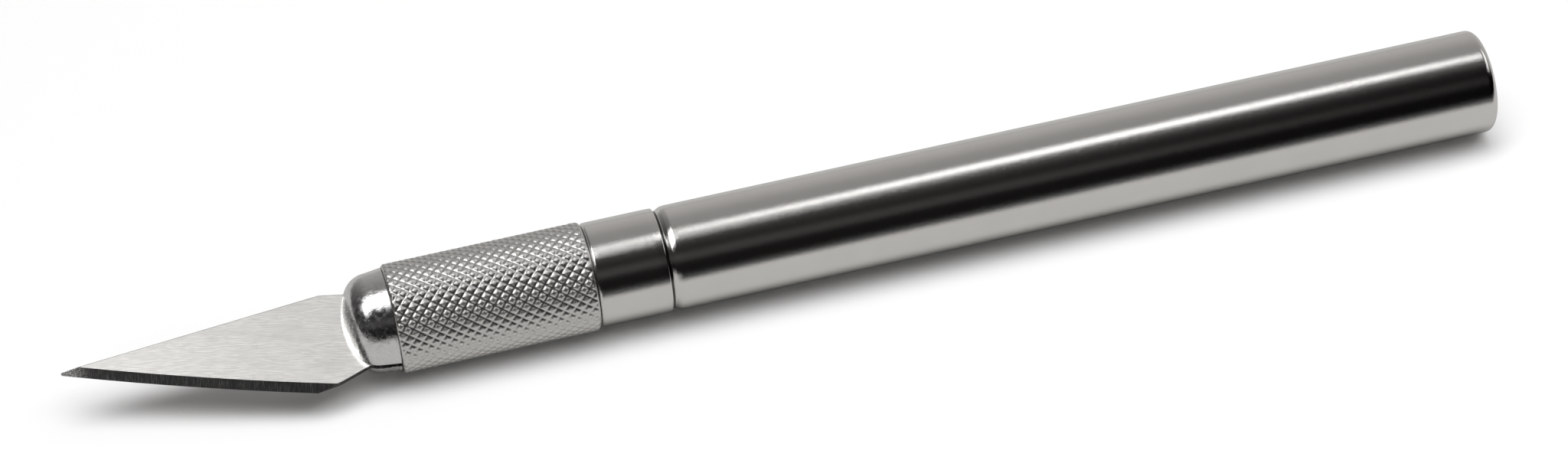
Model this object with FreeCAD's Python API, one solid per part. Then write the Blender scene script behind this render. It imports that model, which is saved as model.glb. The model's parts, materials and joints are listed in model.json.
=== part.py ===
import FreeCAD, Part
import math
import os

from FreeCAD import Placement, Rotation, Vector

# Hobby craft knife, lying on a surface with its blade towards -X. All sizes are in millimetres.
# Every piece is first built with the knife's axis along X and with x = 0 at the barrel side of
# the groove, then the whole knife is moved onto its origin.

os.makedirs("parts", exist_ok=True)

# Handle
HANDLE_DIAMETER = 11.11
BARREL_LENGTH = 89.85
RING_LENGTH = 7.65
GROOVE_WIDTH = 0.95
GROOVE_DEPTH = 0.36
GROOVE_RAMP_LENGTH = 0.6
GROOVE_RAMP_BLEND = 1.2
FRONT_EDGE_RADIUS = 0.33
GROOVE_EDGE_RADIUS = 0.1
CROWN_LENGTH = 0.8
CROWN_DROP = 0.028
REAR_EDGE_RADIUS = 0.9

# Screw thread between collet and handle, 28 turns to the inch
THREAD_PITCH = 25.4 / 28
SOCKET_ROOT_RADIUS = 3.18
SOCKET_CREST_RADIUS = 2.66
THREAD_RADIAL_GAP = 0.12
THREAD_FLANK_GAP = 0.04
RIDGE_BURY = 0.05
CREST_WIDTH = 0.11
FLANK_ANGLE = 30.0
SOCKET_DEPTH = 14.0
SOCKET_THREAD_LENGTH = 12.9
SOCKET_MOUTH_CHAMFER = 0.6
STEM_THREAD_LENGTH = 11.4

# Knurled sleeve
SLEEVE_DIAMETER = 11.55
SLEEVE_LENGTH = 21.1
SLEEVE_FRONT_CHAMFER = 0.25
SLEEVE_REAR_RADIUS = 0.45
FACE_GAP = 0.05
WEB_LENGTH = 8.4
RELIEF_RADIUS = 5.0
THROAT_LENGTH = 0.5
BORE_GAP = 0.05

# Split collet
NOSE_LENGTH = 5.1
NOSE_BASE_RADIUS = 5.48
NOSE_TAPER = 7.0
NOSE_SHOULDER_RADIUS = 2.7
NOSE_CAP_RADIUS = 7.8
NOSE_GAP = 0.1
SEAT_RADIUS = 5.0
SEAT_LENGTH = 1.8
SEAT_GAP = 0.04
BODY_RADIUS = 4.7
FLATS_WIDTH = 7.0
SLIT_WIDTH = 0.66
SLIT_BREAK = 0.06
SLIT_PAST_TANG = 0.5

# Blade
BLADE_THICKNESS = 0.6
TANG_WIDTH = 8.76
TANG_CORNER_RADIUS = 2.0
BLADE_LENGTH = 45.4
TIP_OUTSIDE_TANG = 0.07
TIP_BLUNT_WIDTH = 0.27
SPINE_CORNER = 17.8
SPINE_STEP = 0.65
SPINE_STEP_LENGTH = 2.4
HEEL = 20.95
HEEL_STEP = 1.38
BEVEL_END = 19.0
BEVEL_END_STEP = 1.12
TANG_EDGE_START = 13.2
EDGE_BELLY = 0.25
BEVEL_WIDTH = 1.05
SLOT_WIDTH = 2.0
SLOT_LENGTH = 6.2
SLOT_CENTRE = 7.5
GRIP_LINE_PLACES = (1.3, 2.4, 3.5)
GRIP_LINE_LENGTH = 5.0
GRIP_LINE_WIDTH = 0.2
GRIP_LINE_DEPTH = 0.05

# How the blade sits in the chuck
BLADE_ROLL = 18.0
BLADE_SKEW = 4.2
TANG_REAR_FROM_SLEEVE_FRONT = 11.32
TANG_REAR_OFFSET = 0.676

X_AXIS = Vector(1, 0, 0)
Y_AXIS = Vector(0, 1, 0)
Z_AXIS = Vector(0, 0, 1)
MARGIN = 1.0

handle_radius = HANDLE_DIAMETER / 2
sleeve_radius = SLEEVE_DIAMETER / 2
handle_front = -GROOVE_WIDTH - RING_LENGTH
sleeve_rear = handle_front - FACE_GAP
sleeve_front = sleeve_rear - SLEEVE_LENGTH
nose_back = sleeve_front - NOSE_GAP
web_front = sleeve_rear - WEB_LENGTH
flats_front = web_front - FACE_GAP
tang_rear = sleeve_front + TANG_REAR_FROM_SLEEVE_FRONT
half_tang = TANG_WIDTH / 2


def turned(outline):
    """A solid of revolution about the X axis from a closed outline of (x, radius) points.

    A point with two more numbers is reached by an arc through the place that they give.
    """
    edges = []
    for (x0, radius0, *_), (x1, radius1, *middle) in zip(outline, outline[1:] + outline[:1]):
        start, end = Vector(x0, radius0, 0), Vector(x1, radius1, 0)
        if middle:
            edges.append(Part.Arc(start, Vector(*middle, 0), end).toShape())
        else:
            edges.append(Part.makeLine(start, end))
    face = Part.Face(Part.Wire(edges))
    return face.revolve(Vector(0, 0, 0), X_AXIS, 360)


def arcs_of_radius(shape, radius):
    """The edges of a shape that are circles or arcs of one radius."""
    found = []
    for edge in shape.Edges:
        try:
            curve = edge.Curve
        except TypeError:
            continue
        if isinstance(curve, Part.Circle) and abs(curve.Radius - radius) < 1e-4:
            found.append(edge)
    return found


def rims(shape, x, radius):
    """The round edges of a turned shape at one place and one radius."""
    return [edge for edge in arcs_of_radius(shape, radius) if abs(edge.Curve.Center.x - x) < 1e-4]


def rounded(shape, x, radius, fillet):
    return shape.makeFillet(fillet, rims(shape, x, radius))


def thread_ridge(start, length, crest_radius, root_radius, crest_width):
    """A helical ridge about X, from below its root radius out to its crest."""
    height = crest_radius - root_radius
    half_crest = crest_width / 2
    half_root = half_crest + height * math.tan(math.radians(FLANK_ANGLE))
    outline = [
        Vector(root_radius, 0, -half_root),
        Vector(crest_radius, 0, -half_crest),
        Vector(crest_radius, 0, half_crest),
        Vector(root_radius, 0, half_root),
    ]
    profile = Part.makePolygon(outline + outline[:1])
    path = Part.makeHelix(THREAD_PITCH, length, root_radius)
    ridge = Part.Wire(path).makePipeShell([profile], True, True)
    ridge.Placement = Placement(Vector(start, 0, 0), Rotation(Y_AXIS, 90))
    return ridge


def flatted_bar(x_from, x_to, radius, across_flats):
    """A round bar along X with two flats that lie parallel to the collet's slit."""
    length = x_to - x_from
    bar = Part.makeCylinder(radius, length, Vector(x_from, 0, 0), X_AXIS)
    slab = Part.makeBox(length, 4 * radius, across_flats)
    slab.translate(Vector(x_from, -2 * radius, -across_flats / 2))
    bar = bar.common(slab)
    bar.rotate(Vector(0, 0, 0), X_AXIS, BLADE_ROLL)
    return bar


def make_handle():
    """A round bar with a turned groove and a threaded socket in its front face.

    The groove has a steep wall on its ring side and a ramp on its barrel side, and polishing
    has crowned the bar a little beside each of its front edges.
    """
    floor_radius = handle_radius - GROOVE_DEPTH
    edge_radius = handle_radius - CROWN_DROP
    crown_radius = handle_radius - CROWN_DROP / 4
    half_crown = CROWN_LENGTH / 2
    groove_front = -GROOVE_WIDTH
    bar = turned(
        [
            (handle_front, 0),
            (handle_front, edge_radius),
            (handle_front + CROWN_LENGTH, handle_radius, handle_front + half_crown, crown_radius),
            (groove_front - CROWN_LENGTH, handle_radius),
            (groove_front, edge_radius, groove_front - half_crown, crown_radius),
            (groove_front, floor_radius),
            (-GROOVE_RAMP_LENGTH, floor_radius),
            (0, edge_radius),
            (CROWN_LENGTH, handle_radius, half_crown, crown_radius),
            (BARREL_LENGTH, handle_radius),
            (BARREL_LENGTH, 0),
        ]
    )
    bar = rounded(bar, handle_front, edge_radius, FRONT_EDGE_RADIUS)
    bar = rounded(bar, groove_front, edge_radius, GROOVE_EDGE_RADIUS)
    bar = rounded(bar, 0, edge_radius, GROOVE_RAMP_BLEND)
    bar = rounded(bar, BARREL_LENGTH, handle_radius, REAR_EDGE_RADIUS)

    drill_point = SOCKET_CREST_RADIUS * math.tan(math.radians(31))
    mouth_radius = SOCKET_ROOT_RADIUS + SOCKET_MOUTH_CHAMFER / 2
    drilling = turned(
        [
            (handle_front - MARGIN, 0),
            (handle_front - MARGIN, mouth_radius),
            (handle_front, mouth_radius),
            (handle_front + mouth_radius - SOCKET_CREST_RADIUS, SOCKET_CREST_RADIUS),
            (handle_front + SOCKET_DEPTH, SOCKET_CREST_RADIUS),
            (handle_front + SOCKET_DEPTH + drill_point, 0),
        ]
    )
    ridge = thread_ridge(
        handle_front - THREAD_PITCH,
        SOCKET_THREAD_LENGTH + THREAD_PITCH,
        SOCKET_ROOT_RADIUS,
        SOCKET_CREST_RADIUS - RIDGE_BURY,
        CREST_WIDTH + 2 * THREAD_FLANK_GAP,
    )
    return bar.cut(drilling).cut(ridge)


def make_sleeve():
    """The chuck sleeve, plain outside at the height of its knurl."""
    mouth_radius = SEAT_RADIUS + SEAT_GAP
    throat_radius = BODY_RADIUS + BORE_GAP
    seat_slope = (SEAT_RADIUS - BODY_RADIUS) / SEAT_LENGTH
    seat_end = sleeve_front + (mouth_radius - throat_radius) / seat_slope
    throat_end = seat_end + THROAT_LENGTH
    step = RELIEF_RADIUS - throat_radius
    body = turned(
        [
            (sleeve_front, mouth_radius),
            (sleeve_front, sleeve_radius - SLEEVE_FRONT_CHAMFER),
            (sleeve_front + SLEEVE_FRONT_CHAMFER, sleeve_radius),
            (sleeve_rear, sleeve_radius),
            (sleeve_rear, 0),
            (web_front, 0),
            (web_front, RELIEF_RADIUS),
            (throat_end + step, RELIEF_RADIUS),
            (throat_end, throat_radius),
            (seat_end, throat_radius),
        ]
    )
    body = rounded(body, sleeve_rear, sleeve_radius, SLEEVE_REAR_RADIUS)
    keyhole = flatted_bar(
        web_front - MARGIN,
        sleeve_rear + MARGIN,
        throat_radius,
        FLATS_WIDTH + 2 * BORE_GAP,
    )
    return body.cut(keyhole)


def make_nose():
    """The collet's nose: a slightly tapered round with a flatter cap and a full shoulder."""
    front_radius = NOSE_BASE_RADIUS - NOSE_LENGTH * math.tan(math.radians(NOSE_TAPER))
    back = Vector(nose_back, 0, 0)
    taper = Part.makeCone(NOSE_BASE_RADIUS, front_radius, NOSE_LENGTH, back, -X_AXIS)
    cap = Part.makeSphere(NOSE_CAP_RADIUS)
    cap.translate(Vector(nose_back - NOSE_LENGTH + NOSE_CAP_RADIUS, 0, 0))
    nose = taper.common(cap)
    shoulder = [
        edge
        for edge in nose.Edges
        if edge.BoundBox.XLength < 1e-4 and edge.BoundBox.XMax < nose_back - MARGIN
    ]
    return nose.makeFillet(NOSE_SHOULDER_RADIUS, shoulder)


def make_collet():
    """Two jaws with a rounded nose and a seat cone, a flatted shank and a threaded stem."""
    body = turned(
        [
            (nose_back - MARGIN, 0),
            (nose_back - MARGIN, SEAT_RADIUS),
            (nose_back, SEAT_RADIUS),
            (nose_back + SEAT_LENGTH, BODY_RADIUS),
            (flats_front, BODY_RADIUS),
            (flats_front, 0),
        ]
    )
    stem_crest = SOCKET_ROOT_RADIUS - THREAD_RADIAL_GAP
    stem_root = SOCKET_CREST_RADIUS - THREAD_RADIAL_GAP
    thread_start = handle_front + THREAD_PITCH
    thread_end = thread_start + STEM_THREAD_LENGTH
    lead_in = stem_crest - stem_root
    core = turned(
        [
            (flats_front, 0),
            (flats_front, stem_root),
            (thread_end, stem_root),
            (thread_end + lead_in, stem_root - lead_in),
            (thread_end + lead_in, 0),
        ]
    )
    shank = flatted_bar(flats_front, sleeve_rear - FACE_GAP, BODY_RADIUS, FLATS_WIDTH)
    ridge = thread_ridge(
        thread_start,
        STEM_THREAD_LENGTH - THREAD_PITCH,
        stem_crest,
        stem_root - RIDGE_BURY,
        CREST_WIDTH,
    )
    collet = make_nose().fuse([body, shank, core]).removeSplitter().fuse(ridge)

    slit_end = tang_rear + SLIT_PAST_TANG
    slit_start = nose_back - NOSE_LENGTH - MARGIN
    slit = Part.makeBox(slit_end - slit_start, 4 * NOSE_BASE_RADIUS, SLIT_WIDTH)
    slit.translate(Vector(slit_start, -2 * NOSE_BASE_RADIUS, -SLIT_WIDTH / 2))
    slit.rotate(Vector(0, 0, 0), X_AXIS, BLADE_ROLL)
    collet = collet.cut(slit)

    jaw_edges = [edge for edge in collet.Edges if on_jaw_edge(edge)]
    return collet.makeChamfer(SLIT_BREAK, jaw_edges)


def on_jaw_edge(edge):
    """Whether an edge is where the slit comes out of the nose's round surface."""
    level = Rotation(X_AXIS, -BLADE_ROLL)
    ends = (edge.FirstParameter, edge.LastParameter)
    places = [level.multVec(edge.valueAt(p)) for p in (*ends, sum(ends) / 2)]
    in_slit_face = all(abs(abs(place.z) - SLIT_WIDTH / 2) < 1e-4 for place in places)
    return in_slit_face and places[2].x < nose_back - 1e-3


def blade_outline():
    """The blade's flat shape. Its tang ends at x = 0, its tip points to -x, its edge to -y."""

    def at(forward, towards_edge):
        return Vector(-forward, -towards_edge, 0)

    tip = at(BLADE_LENGTH, -half_tang - TIP_OUTSIDE_TANG)
    blunt_end = at(BLADE_LENGTH, -half_tang - TIP_OUTSIDE_TANG - TIP_BLUNT_WIDTH)
    spine_corner = at(SPINE_CORNER, -half_tang - SPINE_STEP)
    tang_spine_start = at(SPINE_CORNER - SPINE_STEP_LENGTH, -half_tang)
    corner_start = at(TANG_CORNER_RADIUS, -half_tang)
    corner_end = at(0, -half_tang + TANG_CORNER_RADIUS)
    inset = TANG_CORNER_RADIUS * (1 - math.sqrt(0.5))
    corner_middle = at(inset, -half_tang + inset)
    tang_heel = at(0, half_tang)
    tang_edge_start = at(TANG_EDGE_START, half_tang)
    bevel_end = at(BEVEL_END, half_tang + BEVEL_END_STEP)
    heel = at(HEEL, half_tang + HEEL_STEP)
    sweep = Part.BezierCurve()
    sweep.setPoles(
        [
            tang_edge_start,
            at(TANG_EDGE_START + 2.4, half_tang),
            at(BEVEL_END - 2.1, half_tang + BEVEL_END_STEP - 0.3),
            bevel_end,
        ]
    )
    middle, _, _ = edge_circle(heel, tip)
    edges = [
        Part.makeLine(tip, blunt_end),
        Part.makeLine(blunt_end, spine_corner),
        Part.makeLine(spine_corner, tang_spine_start),
        Part.makeLine(tang_spine_start, corner_start),
        Part.Arc(corner_start, corner_middle, corner_end).toShape(),
        Part.makeLine(corner_end, tang_heel),
        Part.makeLine(tang_heel, tang_edge_start),
        sweep.toShape(),
        Part.makeLine(bevel_end, heel),
        Part.Arc(heel, middle, tip).toShape(),
    ]
    return Part.Face(Part.Wire(edges)), heel, tip


def edge_circle(heel, tip):
    """The middle, centre and radius of the cutting edge, which is a very flat arc."""
    chord = tip - heel
    outward = Vector(chord.y, -chord.x, 0)
    if outward.y > 0:
        outward = -outward
    outward.normalize()
    middle = (heel + tip) * 0.5 + outward * EDGE_BELLY
    radius = (chord.Length**2 / 4 + EDGE_BELLY**2) / (2 * EDGE_BELLY)
    return middle, middle - outward * radius, radius


def make_blade():
    """A ground steel blade, bevelled on both faces, with a slot and grip lines in its tang."""
    face, heel, tip = blade_outline()
    half = BLADE_THICKNESS / 2
    blade = face.extrude(Vector(0, 0, BLADE_THICKNESS))
    blade.translate(Vector(0, 0, -half))

    _, centre, radius = edge_circle(heel, tip)
    slope = half / BEVEL_WIDTH
    inner = radius - BEVEL_WIDTH
    outer = radius + MARGIN
    for side in (1, -1):
        wedge = [
            Vector(inner, 0, side * half),
            Vector(outer, 0, side * (half - slope * (outer - inner))),
            Vector(outer, 0, side * (half + MARGIN)),
            Vector(inner, 0, side * (half + MARGIN)),
        ]
        section = Part.Face(Part.makePolygon(wedge + wedge[:1]))
        ring = section.revolve(Vector(0, 0, 0), Z_AXIS, 360)
        ring.translate(centre)
        blade = blade.cut(ring)

    end_offset = (SLOT_LENGTH - SLOT_WIDTH) / 2
    slot = Part.makeBox(2 * end_offset, SLOT_WIDTH, BLADE_THICKNESS + 2 * MARGIN)
    slot.translate(Vector(-SLOT_CENTRE - end_offset, -SLOT_WIDTH / 2, -half - MARGIN))
    for x in (-SLOT_CENTRE - end_offset, -SLOT_CENTRE + end_offset):
        end = Part.makeCylinder(SLOT_WIDTH / 2, BLADE_THICKNESS + 2 * MARGIN)
        end.translate(Vector(x, 0, -half - MARGIN))
        slot = slot.fuse(end)
    blade = blade.cut(slot)

    for place in GRIP_LINE_PLACES:
        line = Part.makeBox(GRIP_LINE_WIDTH, GRIP_LINE_LENGTH, MARGIN)
        line.translate(Vector(-place, -GRIP_LINE_LENGTH / 2, half - GRIP_LINE_DEPTH))
        blade = blade.cut(line)

    blade.rotate(Vector(0, 0, 0), Z_AXIS, BLADE_SKEW)
    blade.translate(Vector(tang_rear, TANG_REAR_OFFSET, 0))
    blade.rotate(Vector(0, 0, 0), X_AXIS, BLADE_ROLL)
    return blade


pieces = {
    "handle": make_handle(),
    "knurled_sleeve": make_sleeve(),
    "split_collet": make_collet(),
    "blade": make_blade(),
}

# The origin is the middle of the knife's footprint, on the surface that it lies on.
box = Part.makeCompound(list(pieces.values())).optimalBoundingBox(False)
to_origin = Vector(-box.Center.x, -box.Center.y, -box.ZMin)
for name, piece in pieces.items():
    piece.translate(to_origin)
    if not piece.isValid() or len(piece.Solids) != 1:
        raise RuntimeError(f"{name} is not one valid solid")
    piece.Solids[0].exportStep(f"parts/{name}.step")
    size = piece.optimalBoundingBox(False)
    print(name, "volume", round(piece.Volume, 2), "mm3,", len(piece.Faces), "faces, box",
          [round(v, 3) for v in (size.XMin, size.XMax, size.YMin, size.YMax, size.ZMin, size.ZMax)])

blade_way = Rotation(X_AXIS, BLADE_ROLL).multVec(Rotation(Z_AXIS, BLADE_SKEW).multVec(-X_AXIS))
print("axis height and side", round(to_origin.z, 4), round(to_origin.y, 4))
print("groove at x", round(to_origin.x, 4), "handle front", round(handle_front + to_origin.x, 4))
print("sleeve front", round(sleeve_front + to_origin.x, 4), "rear end",
      round(BARREL_LENGTH + to_origin.x, 4))
print("blade slides along", [round(v, 6) for v in blade_way])
print("collet travel per turn", round(THREAD_PITCH, 6))
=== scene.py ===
import json
import math

import bpy
import numpy as np
from mathutils import Matrix, Vector


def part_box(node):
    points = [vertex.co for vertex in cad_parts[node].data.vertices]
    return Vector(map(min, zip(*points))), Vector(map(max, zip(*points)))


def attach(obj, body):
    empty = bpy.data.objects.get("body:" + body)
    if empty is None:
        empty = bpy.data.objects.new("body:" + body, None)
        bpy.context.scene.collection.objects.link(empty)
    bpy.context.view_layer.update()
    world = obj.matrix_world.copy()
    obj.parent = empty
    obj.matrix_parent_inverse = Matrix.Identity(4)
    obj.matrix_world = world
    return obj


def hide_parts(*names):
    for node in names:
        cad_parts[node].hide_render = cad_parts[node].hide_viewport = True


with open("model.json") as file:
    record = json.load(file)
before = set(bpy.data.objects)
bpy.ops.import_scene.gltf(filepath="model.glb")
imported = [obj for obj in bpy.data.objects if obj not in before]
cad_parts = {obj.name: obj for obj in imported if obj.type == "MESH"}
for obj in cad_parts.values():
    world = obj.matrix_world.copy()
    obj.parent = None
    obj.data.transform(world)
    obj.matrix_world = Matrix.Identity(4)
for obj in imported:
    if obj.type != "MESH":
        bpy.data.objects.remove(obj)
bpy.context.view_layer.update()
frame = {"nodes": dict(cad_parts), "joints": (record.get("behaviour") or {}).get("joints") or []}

MM = 0.001

# ---- places taken from the frame ----
handle_low, handle_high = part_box("handle")
sleeve_low, sleeve_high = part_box("knurled_sleeve")
hinge = next(j for j in frame["joints"] if j["name"] == "sleeve_turn")
axis_y, axis_z = hinge["pos_m"][1], hinge["pos_m"][2]
sleeve_radius = (sleeve_high.z - sleeve_low.z) / 2 - 0.0005 * MM
sleeve_front, sleeve_rear = sleeve_low.x, sleeve_high.x
blade_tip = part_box("blade")[0].x

# The groove's barrel side, which the camera is placed from.
GROOVE_BEHIND_HANDLE_FRONT = 8.6 * MM
groove_point = Vector((handle_low.x + GROOVE_BEHIND_HANDLE_FRONT, axis_y, axis_z))

# How the chuck and its blade are turned about the knife's axis, and the blade in its own plane.
CHUCK_ROLL = 18.0
BLADE_SKEW = 4.2


# ---- node helpers ----
def new_material(name):
    material = bpy.data.materials.new(name)
    material.use_nodes = True
    material.node_tree.nodes.clear()
    return material, Nodes(material.node_tree)


class Nodes:
    """Short calls for building a node tree."""

    def __init__(self, tree):
        self.tree = tree

    def add(self, kind, **settings):
        node = self.tree.nodes.new(kind)
        for key, value in settings.items():
            setattr(node, key, value)
        return node

    def link(self, source, target):
        self.tree.links.new(source, target)

    def put(self, socket, value):
        if isinstance(value, bpy.types.NodeSocket):
            self.link(value, socket)
        else:
            socket.default_value = value

    def math(self, operation, a, b=0.0, c=0.0, clamp=False):
        node = self.add("ShaderNodeMath", operation=operation, use_clamp=clamp)
        for socket, value in zip(node.inputs, (a, b, c)):
            self.put(socket, value)
        return node.outputs[0]

    def ramp(self, value, low, high, to_low=0.0, to_high=1.0, smooth=True):
        kind = "SMOOTHSTEP" if smooth else "LINEAR"
        node = self.add("ShaderNodeMapRange", interpolation_type=kind)
        for key, number in (
            ("Value", value),
            ("From Min", low),
            ("From Max", high),
            ("To Min", to_low),
            ("To Max", to_high),
        ):
            self.put(node.inputs[key], number)
        return node.outputs[0]

    def mix_colour(self, factor, a, b, blend="MIX"):
        node = self.add("ShaderNodeMix", data_type="RGBA", blend_type=blend)
        self.put(node.inputs[0], factor)
        self.put(node.inputs[6], a)
        self.put(node.inputs[7], b)
        return node.outputs[2]

    def object_point(self):
        """The point on the piece in its own coordinates."""
        return self.add("ShaderNodeTexCoord").outputs["Object"]

    def split(self, vector):
        node = self.add("ShaderNodeSeparateXYZ")
        self.link(vector, node.inputs[0])
        return node.outputs

    def turn(self, point, x_deg, z_deg):
        """The point turned about the x axis and then about the z axis."""
        node = self.add("ShaderNodeMapping")
        node.inputs["Rotation"].default_value = (math.radians(x_deg), 0, math.radians(z_deg))
        self.link(point, node.inputs["Vector"])
        return node.outputs[0]

    def stretch(self, point, scale):
        node = self.add("ShaderNodeVectorMath", operation="MULTIPLY")
        self.link(point, node.inputs[0])
        node.inputs[1].default_value = scale
        return node.outputs["Vector"]

    def from_axis(self, point):
        """How far a point lies from the knife's axis."""
        offset = self.add("ShaderNodeVectorMath", operation="SUBTRACT")
        self.link(point, offset.inputs[0])
        offset.inputs[1].default_value = (0, axis_y, axis_z)
        length = self.add("ShaderNodeVectorMath", operation="LENGTH")
        self.link(self.stretch(offset.outputs["Vector"], (0, 1, 1)), length.inputs[0])
        return length.outputs["Value"]

    def noise(self, point, scale, detail=2.0, roughness=0.5):
        """Noise from 0 to 1. The scale is in cells per metre."""
        node = self.add("ShaderNodeTexNoise")
        self.link(point, node.inputs["Vector"])
        for key, number in (("Scale", scale), ("Detail", detail), ("Roughness", roughness)):
            self.put(node.inputs[key], number)
        return node.outputs["Fac"]

    def cell_distance(self, point, scale):
        """How far the point lies from the nearest scattered cell centre."""
        node = self.add("ShaderNodeTexVoronoi", feature="F1")
        self.link(point, node.inputs["Vector"])
        self.put(node.inputs["Scale"], scale)
        return node.outputs["Distance"]

    def dot(self, a, b):
        node = self.add("ShaderNodeVectorMath", operation="DOT_PRODUCT")
        for socket, value in zip(node.inputs, (a, b)):
            self.put(socket, value)
        return node.outputs["Value"]

    def bump(self, height, distance):
        node = self.add("ShaderNodeBump")
        self.put(node.inputs["Strength"], 1.0)
        self.put(node.inputs["Distance"], distance)
        self.link(height, node.inputs["Height"])
        return node.outputs[0]


def finish_metal(nodes, colour, roughness, normal):
    """The metal shader at the end of a material."""
    shader = nodes.add("ShaderNodeBsdfPrincipled")
    shader.inputs["Metallic"].default_value = 1.0
    nodes.link(colour, shader.inputs["Base Color"])
    nodes.link(roughness, shader.inputs["Roughness"])
    nodes.link(normal, shader.inputs["Normal"])
    output = nodes.add("ShaderNodeOutputMaterial")
    nodes.link(shader.outputs[0], output.inputs["Surface"])


# ---- materials ----
# The handle's groove starts behind the ring, with painted shade on its foot, twice this wide, beside
# its wall.
RING_LENGTH = 7.65 * MM
GROOVE_FOOT = 0.14 * MM
# The length of the blade's tip with painted glints, the width of its dark edge line, and how its bevel
# lies to its tang.
BLADE_TIP_LENGTH = 3.4 * MM
BLADE_EDGE_LINE = 0.14 * MM
BEVEL_SLOPE = 17.0


def polished_bar():
    """Drawn and polished aluminium: fine grain, tiny pits, cross scratches and painted shade darkening
    the groove's foot.
    """
    material, n = new_material("polished_bar")
    point = n.object_point()
    peel = n.noise(n.stretch(point, (0.8, 1, 1)), 3600, 2.0, 0.55)
    fine = n.noise(point, 12000, 3.0, 0.65)
    pits = n.ramp(n.cell_distance(point, 3000), 0.0, 0.14)
    height = n.math("MULTIPLY", peel, 0.55)
    height = n.math("MULTIPLY_ADD", fine, 1.0, n.math("MULTIPLY_ADD", pits, 0.6, height))
    scratch = n.noise(n.stretch(point, (1, 0.03, 0.03)), 7000, 1.0, 0.4)
    scratch = n.math("MULTIPLY", n.ramp(scratch, 0.72, 0.80), 0.12)
    normal = n.bump(n.math("ADD", height, scratch), 0.0085 * MM)

    # Painted shade: the deep part of the groove beside its wall is coloured near black.
    foot_middle = handle_low.x + RING_LENGTH + GROOVE_FOOT
    beside = n.math("ABSOLUTE", n.math("SUBTRACT", n.split(point)[0], foot_middle))
    foot = n.ramp(beside, GROOVE_FOOT + 0.06 * MM, GROOVE_FOOT - 0.04 * MM)
    bar_radius = (handle_high.z - handle_low.z) / 2
    deep = n.ramp(n.from_axis(point), bar_radius - 0.08 * MM, bar_radius - 0.22 * MM)
    painted_groove_shade = n.math("MULTIPLY", foot, deep)

    colour = n.mix_colour(n.noise(point, 260, 3.0), (0.83, 0.818, 0.803, 1), (0.90, 0.888, 0.873, 1))
    # Painted shade laid on the groove's foot as a near-black colour.
    colour = n.mix_colour(painted_groove_shade, colour, (0.10, 0.098, 0.095, 1))
    roughness = n.ramp(n.noise(point, 900, 3.0), 0.3, 0.7, 0.055, 0.095)
    finish_metal(n, colour, roughness, normal)
    return material


def collet_metal():
    """Machined and tumbled metal with a mottled, finely pitted surface."""
    material, n = new_material("collet_metal")
    point = n.object_point()
    peel = n.noise(point, 1300, 2.0, 0.5)
    mottle = n.noise(point, 4200, 3.0, 0.65)
    pits = n.ramp(n.cell_distance(point, 3000), 0.0, 0.25)
    height = n.math("MULTIPLY_ADD", mottle, 0.55, n.math("MULTIPLY_ADD", pits, 0.25, peel))
    normal = n.bump(height, 0.016 * MM)
    colour = n.mix_colour(n.noise(point, 300, 3.0), (0.80, 0.80, 0.80, 1), (0.92, 0.92, 0.92, 1))
    roughness = n.ramp(n.noise(point, 1900, 3.0, 0.6), 0.35, 0.65, 0.13, 0.30)
    finish_metal(n, colour, roughness, normal)
    return material


def knurled_metal():
    """Knurled metal: matte pebbled crests, and smoother flanks where the tool has pressed."""
    material, n = new_material("knurled_metal")
    point = n.object_point()
    crest = n.ramp(n.from_axis(point), sleeve_radius - 0.05 * MM, sleeve_radius - 0.015 * MM)

    grain = n.noise(point, 7000, 3.0, 0.7)
    pebble = n.math("MULTIPLY", grain, n.math("MULTIPLY_ADD", crest, 0.8, 0.2))
    normal = n.bump(pebble, 0.028 * MM)
    worn = n.mix_colour(n.noise(point, 700, 3.0), (0.82, 0.81, 0.795, 1), (0.95, 0.94, 0.925, 1))
    colour = n.mix_colour(crest, (0.80, 0.79, 0.775, 1), worn)
    roughness = n.math("MULTIPLY_ADD", crest, 0.09, 0.31)
    finish_metal(n, colour, roughness, normal)
    return material


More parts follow.
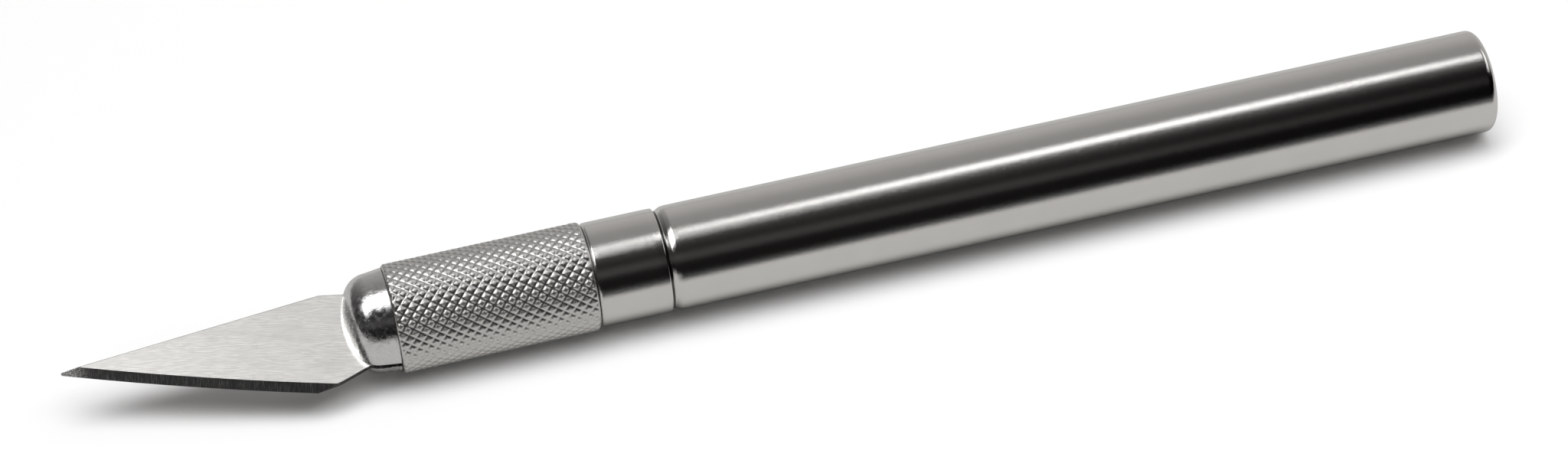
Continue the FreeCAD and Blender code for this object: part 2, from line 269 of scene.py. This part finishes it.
def blade_steel():
    """Bright brushed strip steel with a dark edge line, a ground bevel with painted dark reflection,
    and a tip with painted glints.
    """
    material, n = new_material("blade_steel")
    object_point = n.object_point()
    point = n.turn(object_point, -CHUCK_ROLL, -BLADE_SKEW)
    lined = n.turn(point, 0, BEVEL_SLOPE)

    roll = math.radians(CHUCK_ROLL)
    normal = n.add("ShaderNodeTexCoord").outputs["Normal"]
    facing = n.math("ABSOLUTE", n.dot(normal, (0, -math.sin(roll), math.cos(roll))))
    flat = n.ramp(facing, 0.975, 0.99)

    rounded = n.add("ShaderNodeBevel", samples=6)
    rounded.inputs["Radius"].default_value = BLADE_EDGE_LINE
    true_normal = n.add("ShaderNodeNewGeometry").outputs["True Normal"]
    edge = n.ramp(n.dot(rounded.outputs[0], true_normal), 0.985, 0.93)

    brushed = n.noise(n.stretch(lined, (0.06, 1, 1)), 15000, 3.0, 0.6)
    cloud = n.noise(n.stretch(lined, (0.35, 1, 1)), 420, 3.0, 0.6)
    face = n.mix_colour(n.ramp(brushed, 0.25, 0.75), (0.71, 0.698, 0.680, 1), (0.95, 0.936, 0.915, 1))
    face = n.mix_colour(n.ramp(cloud, 0.4, 0.9), face, (0.72, 0.708, 0.69, 1))
    face = n.mix_colour(edge, face, (0.12, 0.118, 0.115, 1))

    # Painted dark reflection: the ground bevel is coloured near black, with its grind lines a little
    # lighter.
    ground = n.noise(n.stretch(lined, (1, 0.06, 0.06)), 14000, 3.0, 0.7)
    bevel = n.mix_colour(n.ramp(ground, 0.45, 0.75), (0.042, 0.042, 0.041, 1), (0.15, 0.148, 0.143, 1))
    # Painted glints: near the tip the bevel is painted lighter, with bright specks standing in for
    # glints of light.
    painted_sparkle = n.ramp(n.noise(point, 7000, 2.0, 0.7), 0.35, 0.7)
    tip_painted_glints = n.mix_colour(painted_sparkle, (0.12, 0.118, 0.115, 1), (0.62, 0.61, 0.595, 1))
    x = n.split(object_point)[0]
    near_tip = n.ramp(x, blade_tip + BLADE_TIP_LENGTH, blade_tip + 0.4 * MM)
    bevel = n.mix_colour(near_tip, bevel, tip_painted_glints)

    grain = n.bump(n.mix_colour(flat, ground, brushed), 0.0022 * MM)
    roughness = n.math("MULTIPLY_ADD", flat, -0.10, 0.36)
    finish_metal(n, n.mix_colour(flat, bevel, face), roughness, grain)
    return material


# The mirrored paper's shade: it starts between these distances on the camera's side of the knife,
# and it ends between these places beyond the nose.
SHADE_STARTS = (-56 * MM, -34 * MM)
SHADE_ENDS = (-38 * MM, -52 * MM)


def floor_material():
    """White paper, in the metal's reflections darker and with a shaded near part."""
    material, n = new_material("floor_paper")
    x, y, _ = n.split(n.object_point())
    beyond = n.ramp(x, SHADE_ENDS[0], SHADE_ENDS[1])
    lit = n.math("MAXIMUM", n.ramp(y, SHADE_STARTS[0], SHADE_STARTS[1]), beyond)
    mirrored = n.mix_colour(lit, (0.06, 0.06, 0.06, 1), (0.43, 0.425, 0.415, 1))
    seen = n.add("ShaderNodeLightPath").outputs["Is Camera Ray"]
    colour = n.mix_colour(seen, mirrored, (0.88, 0.88, 0.88, 1))
    shader = n.add("ShaderNodeBsdfDiffuse")
    n.link(colour, shader.inputs["Color"])
    output = n.add("ShaderNodeOutputMaterial")
    n.link(shader.outputs[0], output.inputs["Surface"])
    return material


# ---- knurled sleeve ----
# The two crossing families of helical grooves: starts, and grooves per metre along the sleeve.
KNURL_FAMILIES = ((34, 742.0), (-30, 866.0))
KNURL_DEPTH = 0.145 * MM
# A groove's half width as a part of the pitch, and how much its walls curve.
GROOVE_HALF_WIDTH = 0.31
GROOVE_POWER = 1.2
SLEEVE_SEGMENTS = 384
SLEEVE_STEP = 0.1 * MM
SLEEVE_FRONT_CHAMFER = 0.25 * MM
SLEEVE_REAR_RADIUS = 0.45 * MM
SLEEVE_MOUTH_RADIUS = 5.04 * MM
SLEEVE_THROAT_RADIUS = 4.75 * MM
SLEEVE_RELIEF_RADIUS = 5.0 * MM
SLEEVE_SEAT_LENGTH = 1.74 * MM
SLEEVE_THROAT_LENGTH = 0.5 * MM
SLEEVE_WEB_LENGTH = 8.4 * MM
KEYHOLE_WIDTH = 7.1 * MM


def knurl_height(x, angles):
    """How far the surface lies below the crests."""
    deepest = np.zeros_like(angles)
    for starts, per_metre in KNURL_FAMILIES:
        value = x * per_metre - starts * angles / (2 * math.pi)
        from_groove = np.abs(value - np.round(value))
        groove = np.clip(1 - from_groove / GROOVE_HALF_WIDTH, 0, 1)
        deepest = np.maximum(deepest, groove**GROOVE_POWER)
    return deepest * KNURL_DEPTH


def sleeve_envelope(x):
    """The sleeve's outer radius without its knurl, with its chamfer and rounded rear edge."""
    from_front = x - sleeve_front
    from_rear = sleeve_rear - x
    radius = sleeve_radius
    if from_front < SLEEVE_FRONT_CHAMFER:
        radius = sleeve_radius - (SLEEVE_FRONT_CHAMFER - from_front)
    if from_rear < SLEEVE_REAR_RADIUS:
        rise = SLEEVE_REAR_RADIUS - from_rear
        drop = SLEEVE_REAR_RADIUS - math.sqrt(max(SLEEVE_REAR_RADIUS**2 - rise**2, 0))
        radius = sleeve_radius - drop
    return radius


def mesh_object(name, points, faces, material):
    mesh = bpy.data.meshes.new(name)
    mesh.from_pydata([tuple(p) for p in points], [], faces)
    mesh.materials.append(material)
    mesh.validate()
    mesh.update()
    piece = bpy.data.objects.new(name, mesh)
    bpy.context.scene.collection.objects.link(piece)
    return piece


def make_sleeve(material):
    """The chuck sleeve as one closed skin of rings, with the diamond knurl cut into its outside.

    The outside is smooth shaded and the bore is flat shaded.
    """
    count = SLEEVE_SEGMENTS
    angles = np.arange(count) * 2 * math.pi / count
    plain = np.ones(count)

    across = np.abs(np.sin(angles - math.radians(CHUCK_ROLL)))
    keyhole = np.minimum(SLEEVE_THROAT_RADIUS, (KEYHOLE_WIDTH / 2) / np.maximum(across, 1e-6))

    web_front = sleeve_rear - SLEEVE_WEB_LENGTH
    seat_end = sleeve_front + SLEEVE_SEAT_LENGTH
    throat_end = seat_end + SLEEVE_THROAT_LENGTH
    relief_start = throat_end + SLEEVE_RELIEF_RADIUS - SLEEVE_THROAT_RADIUS
    inside = [
        (sleeve_rear, keyhole),
        (web_front, keyhole),
        (web_front, plain * SLEEVE_RELIEF_RADIUS),
        (relief_start, plain * SLEEVE_RELIEF_RADIUS),
        (throat_end, plain * SLEEVE_THROAT_RADIUS),
        (seat_end, plain * SLEEVE_THROAT_RADIUS),
        (sleeve_front, plain * SLEEVE_MOUTH_RADIUS),
    ]

    stations = list(np.arange(sleeve_front, sleeve_rear - SLEEVE_REAR_RADIUS, SLEEVE_STEP))
    turns = [math.radians(a) for a in range(0, 91, 15)]
    stations += [sleeve_rear - SLEEVE_REAR_RADIUS * (1 - math.sin(a)) for a in turns]
    outside = []
    for x in stations:
        cut = sleeve_radius - knurl_height(x - sleeve_front, angles)
        outside.append((x, np.minimum(cut, sleeve_envelope(x))))

    rings = inside + outside
    points = []
    for x, radii in rings:
        y = axis_y + radii * np.cos(angles)
        z = axis_z + radii * np.sin(angles)
        points += list(zip(np.full(count, x), y, z))
    faces = []
    for i in range(len(rings)):
        j = (i + 1) % len(rings)
        for k in range(count):
            m = (k + 1) % count
            faces.append((i * count + k, j * count + k, j * count + m, i * count + m))
    piece = mesh_object("knurled_sleeve_skin", points, faces, material)
    first_smooth = len(inside) * count
    for face in piece.data.polygons:
        face.use_smooth = first_smooth <= face.index < len(faces) - count
    return piece


# ---- camera ----
FOCAL_LENGTH = 107.2
SENSOR_WIDTH = 36.0
CAMERA_DISTANCE = 488.5 * MM
CAMERA_AZIMUTH = -11.45
CAMERA_ELEVATION = 43.5
CAMERA_ROLL = -4.45
# Where the groove lies in the picture, from its middle, as parts of the picture's width.
GROOVE_RIGHT = -0.0728
GROOVE_UP = -0.01474


def make_camera():
    azimuth, elevation, roll = (
        math.radians(v) for v in (CAMERA_AZIMUTH, CAMERA_ELEVATION, CAMERA_ROLL)
    )
    back = Vector(
        (
            math.sin(azimuth) * math.cos(elevation),
            -math.cos(azimuth) * math.cos(elevation),
            math.sin(elevation),
        )
    )
    level_right = (-back).cross(Vector((0, 0, 1))).normalized()
    level_up = level_right.cross(-back)
    right = level_right * math.cos(roll) + level_up * math.sin(roll)
    up = level_up * math.cos(roll) - level_right * math.sin(roll)
    spread = SENSOR_WIDTH / FOCAL_LENGTH
    aim = -back + right * GROOVE_RIGHT * spread + up * GROOVE_UP * spread
    data = bpy.data.cameras.new("camera")
    data.lens = FOCAL_LENGTH
    data.sensor_width = SENSOR_WIDTH
    data.clip_start = 0.01
    camera = bpy.data.objects.new("camera", data)
    bpy.context.scene.collection.objects.link(camera)
    turn = Matrix((right, up, back)).transposed().to_4x4()
    camera.matrix_world = Matrix.Translation(groove_point - aim * CAMERA_DISTANCE) @ turn
    bpy.context.scene.camera = camera


# ---- studio ----
def direction(x, sweep_deg):
    """A way to look: x along the knife, and the sweep from the near horizon up and over."""
    sweep = math.radians(sweep_deg)
    k = math.sqrt(1 - x * x)
    return Vector((x, -math.cos(sweep) * k, math.sin(sweep) * k))


# Brightness of the room by sweep, in degrees from the near horizon over the top to the far one.
ROOM_LEVELS = (
    (0, 0.012),
    (10, 0.008),
    (25, 0.010),
    (29, 0.010),
    (35, 0.050),
    (44, 0.055),
    (54, 0.018),
    (72, 0.040),
    (86, 0.13),
    (106, 0.27),
    (130, 0.29),
    (150, 0.38),
    (172, 0.45),
    (180, 0.45),
)
# Each overhead softbox lies flat at height 1 above the knife: its centre, half sizes and turn.
SOFTBOXES = (
    ((0.226, 0.14), (0.060, 0.10), 8.0, 2.8),
    ((-0.475, -0.03), (0.46, 0.27), 18.0, 2.7),
    ((1.15, 0.05), (0.45, 0.55), 0.0, 0.9),
)
SOFTBOX_EDGE = 0.05


def softbox(n, plane_x, plane_y, box):
    """A bright rectangle on the ceiling, with soft edges."""
    (centre_x, centre_y), half_sizes, turn, brightness = box
    turn = math.radians(turn)
    off_x = n.math("SUBTRACT", plane_x, centre_x)
    off_y = n.math("SUBTRACT", plane_y, centre_y)
    mask = None
    for angle, half in zip((turn, turn + math.pi / 2), half_sizes):
        part_x = n.math("MULTIPLY", off_x, math.cos(angle))
        along = n.math("MULTIPLY_ADD", off_y, math.sin(angle), part_x)
        edge = n.ramp(n.math("ABSOLUTE", along), half + SOFTBOX_EDGE, half - SOFTBOX_EDGE)
        mask = edge if mask is None else n.math("MULTIPLY", mask, edge)
    return n.mix_colour(mask, (0, 0, 0, 1), (brightness, brightness, brightness, 1))


def make_world():
    """A dark room on the near side, a grey wall behind and three softboxes overhead."""
    world = bpy.data.worlds.new("studio")
    bpy.context.scene.world = world
    world.use_nodes = True
    world.node_tree.nodes.clear()
    n = Nodes(world.node_tree)
    x, y, z = n.split(n.add("ShaderNodeTexCoord").outputs["Generated"])

    sweep = n.math("ARCTAN2", z, n.math("MULTIPLY", y, -1.0))
    room = n.add("ShaderNodeValToRGB")
    elements = room.color_ramp.elements
    while len(elements) < len(ROOM_LEVELS):
        elements.new(0.5)
    for element, (degrees, level) in zip(elements, ROOM_LEVELS):
        element.position = degrees / 180
        element.color = (level, level * 0.98, level * 0.955, 1)
    n.link(n.math("DIVIDE", sweep, math.pi, clamp=True), room.inputs[0])

    # The far wall falls into shadow towards the blade, and the near side towards the rear end.
    far_fade = n.math("POWER", n.ramp(x, -1.0, 0.1, smooth=False), 1.6)
    far_fade = n.math("MULTIPLY_ADD", far_fade, 0.9, 0.1)
    near_fade = n.ramp(x, 0.225, 0.285, 1.0, 0.08)
    far = n.ramp(sweep, math.radians(62), math.radians(92))
    fade = n.math("MULTIPLY_ADD", far, n.math("SUBTRACT", far_fade, near_fade), near_fade)
    total = n.mix_colour(1.0, room.outputs[0], fade, "MULTIPLY")

    height = n.math("MAXIMUM", z, 0.05)
    plane_x = n.math("DIVIDE", x, height)
    plane_y = n.math("DIVIDE", y, height)
    for box in SOFTBOXES:
        total = n.mix_colour(1.0, total, softbox(n, plane_x, plane_y, box), "ADD")

    background = n.add("ShaderNodeBackground")
    seen = n.add("ShaderNodeLightPath").outputs["Is Camera Ray"]
    n.link(n.mix_colour(seen, total, (0.93, 0.93, 0.93, 1)), background.inputs["Color"])
    output = n.add("ShaderNodeOutputWorld")
    n.link(background.outputs[0], output.inputs["Surface"])


FLOOR_HALF_SIZE = 2.5


def make_floor():
    half = FLOOR_HALF_SIZE
    corners = [(-half, -half, 0), (half, -half, 0), (half, half, 0), (-half, half, 0)]
    floor = mesh_object("floor", corners, [(0, 1, 2, 3)], floor_material())


LIGHT_DISTANCE = 0.9


def area_light(name, towards, size, power):
    """A rectangular light aimed at the groove, unseen by the camera and in the metal."""
    data = bpy.data.lights.new(name, "AREA")
    data.shape = "RECTANGLE"
    data.size, data.size_y = size
    data.energy = power
    light = bpy.data.objects.new(name, data)
    bpy.context.scene.collection.objects.link(light)
    light.location = groove_point + towards * LIGHT_DISTANCE
    light.rotation_mode = "QUATERNION"
    light.rotation_quaternion = towards.to_track_quat("Z", "Y")
    light.visible_camera = False
    light.visible_glossy = False


def make_lights():
    """A broad overhead light for the paper and its soft shadows, and a weak one from the front."""
    area_light("paper_light", direction(0.15, 80), (0.58, 0.86), 6.75)
    area_light("fill_light", direction(0.0, 32), (0.5, 0.3), 0.6)


# ---- assembly ----
make_camera()
make_world()
make_floor()
make_lights()

looks = {
    "handle": polished_bar(),
    "split_collet": collet_metal(),
    "blade": blade_steel(),
}
for node, material in looks.items():
    shown = frame["nodes"][node]
    for slot in shown.material_slots:
        slot.material = material

sleeve = make_sleeve(knurled_metal())
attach(sleeve, "sleeve")
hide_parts("knurled_sleeve")

bpy.context.scene.view_settings.view_transform = "Standard"
